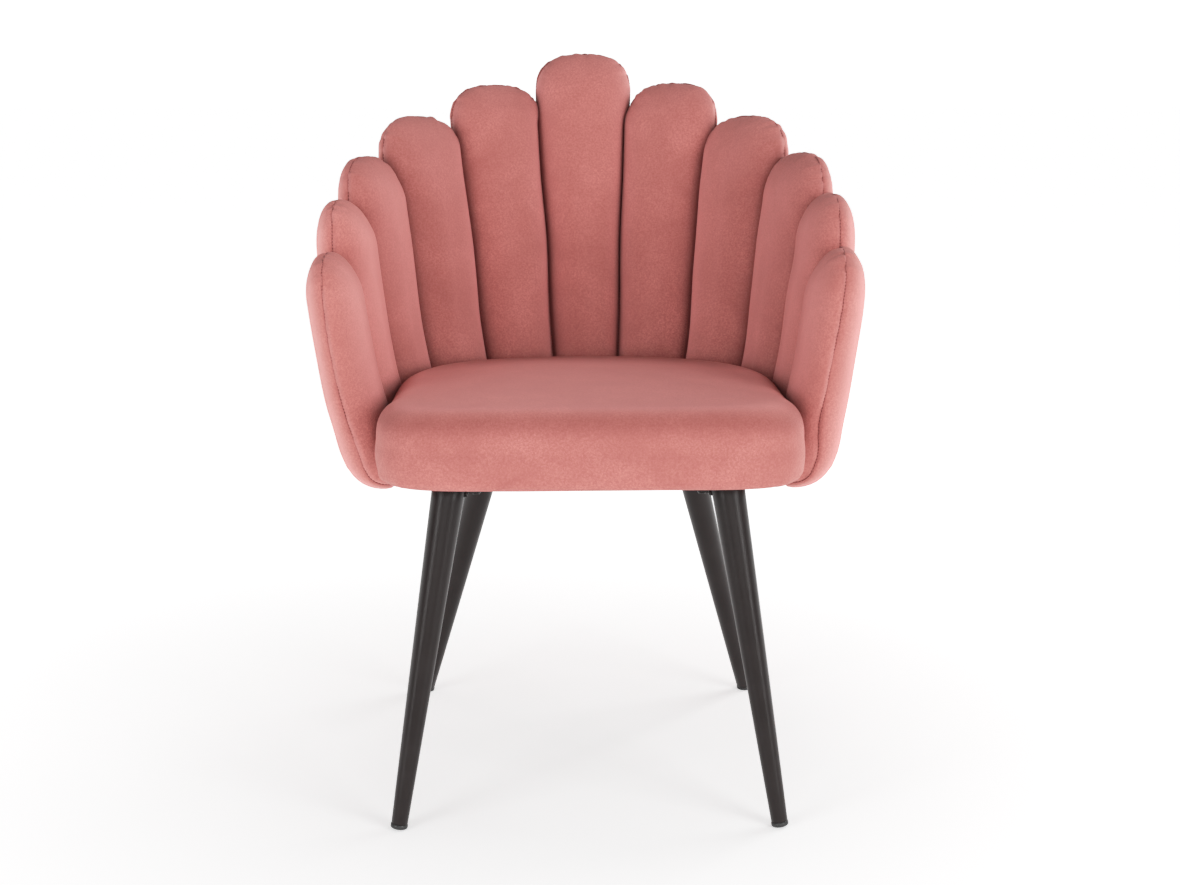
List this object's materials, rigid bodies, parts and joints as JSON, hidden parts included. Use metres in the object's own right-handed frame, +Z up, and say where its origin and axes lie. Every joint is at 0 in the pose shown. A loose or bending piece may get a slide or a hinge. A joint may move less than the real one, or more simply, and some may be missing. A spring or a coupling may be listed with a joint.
{
  "type": "upholstered dining armchair",
  "caption": "Armchair whose tub back and arms are a fan of padded petals round a crowned seat cushion, on splayed tapered metal legs.",
  "frame": {"origin": "on the floor, under the middle of the chair's bounding box", "axes": "+Z up, +X to the right of the chair as seen from in front, and the sitter faces -Y"},
  "size_m": [0.6004, 0.5968, 0.8407],
  "materials": {
    "velvet": "dusty rose short-pile velvet",
    "foam": "open-cell upholstery foam, plain",
    "plywood": "bare bent plywood",
    "lining": "black non-woven lining",
    "black_steel": "satin black powder coat",
    "zinc": "zinc-plated steel",
    "glide_plastic": "matte black moulded plastic"
  },
  "bodies": {
    "root": {"cross_bar_long": "black_steel", "cross_bar_front": "black_steel", "cross_bar_back": "black_steel", "front_left_leg": "black_steel", "front_left_glide": "glide_plastic", "front_left_frame_bolt": "black_steel", "front_left_tee_nut": "zinc", "front_left_strap": "black_steel", "front_left_strap_rivet": "zinc", "front_right_leg": "black_steel", "front_right_glide": "glide_plastic", "front_right_frame_bolt": "black_steel", "front_right_tee_nut": "zinc", "front_right_strap": "black_steel", "front_right_strap_rivet": "zinc", "back_left_leg": "black_steel", "back_left_glide": "glide_plastic", "back_left_frame_bolt": "black_steel", "back_left_tee_nut": "zinc", "back_left_strap": "black_steel", "back_left_strap_rivet": "zinc", "back_right_leg": "black_steel", "back_right_glide": "glide_plastic", "back_right_frame_bolt": "black_steel", "back_right_tee_nut": "zinc", "back_right_strap": "black_steel", "back_right_strap_rivet": "zinc", "back_shell": "plywood", "inner_petal_01": "velvet", "outer_petal_01": "velvet", "inner_petal_02": "velvet", "outer_petal_02": "velvet", "inner_petal_03": "velvet", "outer_petal_03": "velvet", "inner_petal_04": "velvet", "outer_petal_04": "velvet", "inner_petal_05": "velvet", "outer_petal_05": "velvet", "inner_petal_06": "velvet", "outer_petal_06": "velvet", "inner_petal_07": "velvet", "outer_petal_07": "velvet", "inner_petal_08": "velvet", "outer_petal_08": "velvet", "inner_petal_09": "velvet", "outer_petal_09": "velvet", "inner_petal_10": "velvet", "outer_petal_10": "velvet", "inner_petal_11": "velvet", "outer_petal_11": "velvet", "seat_cover": "velvet", "seat_foam": "foam", "seat_board": "plywood", "dust_cover": "lining"}
  },
  "joints": []
}
